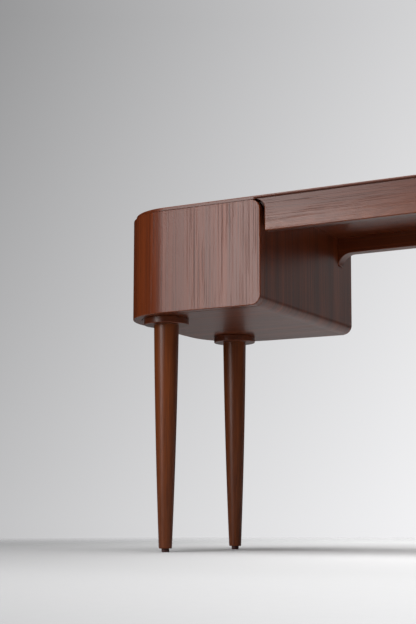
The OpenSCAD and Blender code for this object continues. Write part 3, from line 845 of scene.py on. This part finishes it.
def mirror_post(word, side):
    """A tapered post. Its round head has two flats, and a bore for the pivot pin between them."""
    lo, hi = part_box(f"{word}_mirror_post")
    x, y = (lo.x + hi.x) / 2, (lo.y + hi.y) / 2
    axis_z = hi.z - POST_HEAD_R
    foot_lo, foot_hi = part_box(f"{word}_post_foot")

    def place(u, v, w):
        return x + u, y + v, w

    profile = [(POST_FOOT_R, foot_hi.z, 0.0)]
    neck = math.asin(POST_TOP_R / POST_HEAD_R)
    neck_z = axis_z - POST_HEAD_R * math.cos(neck)
    shaft_steps, head_steps = 16, 20
    crown = 0.02        # angle left open at the top of the head, which the loft caps
    for k in range(1, shaft_steps + 1):
        t = k / shaft_steps
        z = foot_hi.z + (neck_z - foot_hi.z) * t
        share = (z - foot_hi.z) / (axis_z - foot_hi.z)
        profile.append((POST_FOOT_R + (POST_TOP_R - POST_FOOT_R) * share, z, 0.0))
    for k in range(1, head_steps + 1):
        a = neck + (math.pi - crown - neck) * k / head_steps
        profile.append((POST_HEAD_R * math.sin(a), axis_z - POST_HEAD_R * math.cos(a), 0.0))
    bm = loft(spin(profile, POST_STEPS))
    mouths = []
    for way in (-1, 1):
        faces = [f for f in bm.faces if f.calc_center_median().z > neck_z]
        # Keys of a dict and not sets, so that their order is the same in each run
        verts = dict.fromkeys(v for f in faces for v in f.verts)
        edges = dict.fromkeys(e for f in faces for e in f.edges)
        cut = bmesh.ops.bisect_plane(bm, geom=[*verts, *edges, *faces], dist=1e-7,
                                     plane_co=(way * POST_HEAD_FLAT, 0, 0), plane_no=(way, 0, 0),
                                     clear_outer=True)
        rim = [e for e in cut["geom_cut"] if isinstance(e, bmesh.types.BMEdge)]
        mouth = circle_verts(bm, way * POST_HEAD_FLAT, axis_z, PIN_BORE_R)
        rim += [bm.edges.new((mouth[i - 1], mouth[i])) for i in range(len(mouth))]
        bmesh.ops.triangle_fill(bm, edges=rim, use_beauty=True, normal=(way, 0, 0))
        mouths.append(mouth)
    near, far = mouths
    for i in range(len(near)):
        bm.faces.new((near[i - 1], near[i], far[i], far[i - 1]))
    look = ("table", "turned_wood", TURNED)
    finish_piece(bm, f"{word}_mirror_post", grain_along_w, look, place, seed=45 + side)

    r = (foot_hi.x - foot_lo.x) / 2
    corners = [(0, foot_lo.z, 0), (r, foot_lo.z, 0.0008), (r, foot_hi.z, 0.0035), (0, foot_hi.z, 0)]
    profile = [p for p in fillet(corners, steps=6) if p[0] > NO_LENGTH]
    lathe(f"{word}_post_foot", profile, place, grain_along_u, look, seed=51 + side)


def pivot_knob(word, side):
    lo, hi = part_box(f"{word}_pivot_knob")
    y, z = (lo.y + hi.y) / 2, (lo.z + hi.z) / 2
    knob_r = (hi.z - lo.z) / 2
    near = min(abs(lo.x), abs(hi.x))
    far = max(abs(lo.x), abs(hi.x))
    grip = far - 0.0095     # where the knob's grip starts
    flange = grip - 0.002
    flange_r = 0.005
    dome = 0.0022
    dome_steps = 6
    groove = 0.00035        # depth of the knurling

    def place(u, v, w):
        return side * w, y + u, z + v

    profile = [(PIN_R - 0.0004, near, 0), (PIN_R, near + 0.0006, 0), (PIN_R, flange, 0),
               (flange_r - 0.0003, flange, 0), (flange_r, flange + 0.0003, 0),
               (flange_r, grip + 0.0001, 0), (knob_r - 0.0006, grip + 0.0001, 0),
               (knob_r, grip + 0.0008, 0), (knob_r, far - dome - 0.0006, 0)]
    for k in range(1, dome_steps + 1):
        a = math.pi / 2 * k / dome_steps
        profile.append((knob_r - 0.0004 - (knob_r - 0.0010) * (1 - math.cos(a)),
                        far - dome + dome * math.sin(a), 0))

    def knurl(h, i):
        return groove if grip + 0.0004 < h < far - dome - 0.0003 and i % 4 < 2 else 0.0

    lathe(f"{word}_pivot_knob", profile, place, grain_along_w, ("mirror", "brass", BRASS),
          flutes=knurl)


# ---- CAD nodes that keep their own shape ----------------------------------------

def dress(nodes, material):
    """Gives the CAD nodes' own meshes the material."""
    for node in nodes:
        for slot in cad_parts[node].material_slots:
            slot.material = material


# ---- Studio ---------------------------------------------------------------------

CAMERA_AT = (0.807, -2.668, 0.068)
CAMERA_YAW = 0.4971     # radians to the left of +Y
CAMERA_PITCH = 0.1589   # radians above the horizon
CAMERA_LENS = 75.1      # mm

FLOOR_SHADED_LEFT = rgb(0.36, 0.36, 0.365)     # painted light falloff: the floor's colour runs from a shaded grey to pale, lighter and lighter
FLOOR_LIT_RIGHT = rgb(0.95, 0.95, 0.955)
FLOOR_SPAN = (-1.3, 0.3)                # between these distances
FLOOR_WAY = (0.88, 0.48)                # along this direction in X and Y
FLOOR_FADE = (1.2, 3.0)                 # and fades into the backdrop between these
FLOOR_BOUNCE = 0.76     # how much of the floor's light reaches the table
FLOOR_HALF = 12.0

BACKDROP_WAY = (0.879, 0.477, 0.0)      # the backdrop gets lighter along this direction
BACKDROP_SPAN = 0.166                   # from minus this to this
BACKDROP_GREYS = (0.545, 0.905)
BACKDROP_RISE = 0.37                    # and darker upwards, as far as this
BACKDROP_DROP = 0.24                    # by this much
BACKDROP_TINT = (0.985, 0.985, 1.0)
WALL_LIGHT = rgb(0.006, 0.006, 0.006)   # what lights the table in place of the backdrop
CARD_WHITE = 0.75
CARD_GAP = 0.02         # from a light to its card


def studio_floor():
    """A wide floor with painted light falloff, from a shaded grey to pale, that fades into the
    backdrop far from the table.
    """
    g = new_material("studio_floor")
    place = g.node("ShaderNodeTexCoord").outputs["Object"]
    parts = g.node("ShaderNodeSeparateXYZ", {0: place}).outputs
    span = g.math("ADD", g.math("MULTIPLY", parts[0], FLOOR_WAY[0]),
                  g.math("MULTIPLY", parts[1], FLOOR_WAY[1]))
    # Painted light falloff: the floor's colour goes from a shaded grey on one side to pale on the
    # other.
    paint = g.mix(g.band(span, *FLOOR_SPAN), FLOOR_SHADED_LEFT, FLOOR_LIT_RIGHT)
    grit = g.noise(place, (60.0, 60.0, 60.0), 2.0, 0.5)
    paint = g.mix(1.0, paint, g.band(grit, 0.2, 0.8, 0.99, 1.01), "MULTIPLY")
    seen = g.seen()
    paint = g.mix(1.0, paint, g.band(seen, 0.0, 1.0, FLOOR_BOUNCE, 1.0), "MULTIPLY")
    g.surface(Base_Color=paint, Roughness=0.75, Specular_IOR_Level=0.2)
    clear = g.node("ShaderNodeBsdfTransparent")
    reach = g.node("ShaderNodeVectorMath", {0: place}, operation="LENGTH").outputs["Value"]
    fade = g.math("MULTIPLY", g.band(reach, *FLOOR_FADE), seen)
    below = g.node("ShaderNodeNewGeometry").outputs["Backfacing"]
    g.shader_mix(g.math("MAXIMUM", fade, below), g.shader.outputs[0], clear.outputs[0])
    bm = bmesh.new()
    bmesh.ops.create_grid(bm, x_segments=24, y_segments=24, size=FLOOR_HALF)
    new_object(bm, "studio_floor", g.owner)


def backdrop():
    """A grey sweep behind the table for the camera, and dim walls for everything else."""
    world = bpy.data.worlds.new("studio")
    bpy.context.scene.world = world
    g = Graph(world)
    way = g.node("ShaderNodeTexCoord").outputs["Generated"]
    across = g.node("ShaderNodeVectorMath", {0: way, 1: BACKDROP_WAY}, operation="DOT_PRODUCT")
    height = g.node("ShaderNodeSeparateXYZ", {0: way}).outputs[2]
    level = g.band(across.outputs["Value"], -BACKDROP_SPAN, BACKDROP_SPAN, *BACKDROP_GREYS,
                   curve="LINEAR")
    drop = g.band(height, 0.0, BACKDROP_RISE, 0.0, BACKDROP_DROP, curve="LINEAR")
    level = g.math("SUBTRACT", level, drop)
    grey = g.node("ShaderNodeVectorMath", {0: BACKDROP_TINT, 3: level}, operation="SCALE")
    colour = g.mix(g.seen(), WALL_LIGHT, grey.outputs[0])
    g.put(g.tree.nodes["Background"].inputs["Color"], colour)


def reflected_card(lamp, width, height):
    """What the mirror glass shows in place of a light: a plain white card."""
    g = new_material(lamp.name + "_card")
    mirrored = g.node("ShaderNodeLightPath").outputs["Is Singular Ray"]
    glow = g.node("ShaderNodeEmission", {"Strength": CARD_WHITE})
    clear = g.node("ShaderNodeBsdfTransparent")
    g.shader_mix(mirrored, clear.outputs[0], glow.outputs[0])
    turn = lamp.rotation_quaternion.to_matrix().to_4x4()
    size = Matrix.Diagonal((width, height, 1.0, 1.0))
    ahead = Matrix.Translation((0, 0, -CARD_GAP))
    place = Matrix.Translation(lamp.location) @ turn @ ahead @ size
    bm = bmesh.new()
    bmesh.ops.create_grid(bm, x_segments=1, y_segments=1, size=0.5, matrix=place)
    card = new_object(bm, g.owner.name, g.owner)
    card.visible_camera = False
    card.visible_diffuse = False
    card.visible_shadow = False


def set_facing(thing, at, way):
    """Puts a lamp or the camera at a point, and turns it to face along a direction."""
    thing.location = at
    thing.rotation_mode = "QUATERNION"
    thing.rotation_quaternion = way.to_track_quat("-Z", "Y")


def softbox(name, at, aim, width, height, watts):
    """A soft area light, with a card in front of it for the mirror glass."""
    data = bpy.data.lights.new(name, "AREA")
    data.shape = "RECTANGLE"
    data.size = width
    data.size_y = height
    data.energy = watts
    lamp = add_to_scene(name, data)
    set_facing(lamp, at, Vector(aim) - Vector(at))
    lamp.visible_camera = False
    reflected_card(lamp, width, height)


def lights():
    pod_centre = (-0.45, -0.1, 0.55)
    softbox("key", (-1.50, -2.66, 1.20), pod_centre, 0.95, 1.6, 40.0)
    softbox("front_high", (-0.50, -2.20, 3.20), pod_centre, 1.4, 1.0, 45.0)
    softbox("overhead", (0.5, -0.9, 6.0), (0.0, -0.2, 0.0), 4.6, 4.0, 290.0)
    softbox("back", (0.6, 2.8, 1.3), (-0.3, 0.2, 0.3), 2.2, 1.4, 3.4)
    softbox("back_high", (-0.3, 2.6, 2.7), (-0.3, 0.2, 0.5), 2.0, 1.0, 30.0)


def camera():
    data = bpy.data.cameras.new("camera")
    data.lens = CAMERA_LENS
    data.clip_start = 0.05
    lens = add_to_scene("camera", data)
    level = math.cos(CAMERA_PITCH)
    way = Vector((-math.sin(CAMERA_YAW) * level, math.cos(CAMERA_YAW) * level,
                  math.sin(CAMERA_PITCH)))
    set_facing(lens, CAMERA_AT, way)
    bpy.context.scene.camera = lens


def main():
    camera()
    backdrop()
    studio_floor()
    lights()
    table_top()
    front_fascia()
    rails()
    for side, word in ((1, "left"), (-1, "right")):
        pod(side, word)
        drawer_front(side, word)
        drawer_box(side, word)
        mirror_post(word, -side)
        pivot_knob(word, -side)
    for i, corner in enumerate(("front_left", "rear_left", "front_right", "rear_right")):
        leg_set(corner, seed=61 + 2 * i)
    mirror()
    dress(["fascia_screws", "left_drawer_slides", "right_drawer_slides", "left_outer_runner",
           "left_inner_runner", "right_outer_runner", "right_inner_runner", "runner_screws",
           "leg_bolts", "post_studs"], STEEL)
    dress(["leg_inserts", "mirror_clips", "pivot_inserts"], BRASS)
    dress(["friction_washers"], FELT)
    dress(["carcass_dowels"], BEECH)
    bpy.context.scene.view_settings.view_transform = "Standard"


main()
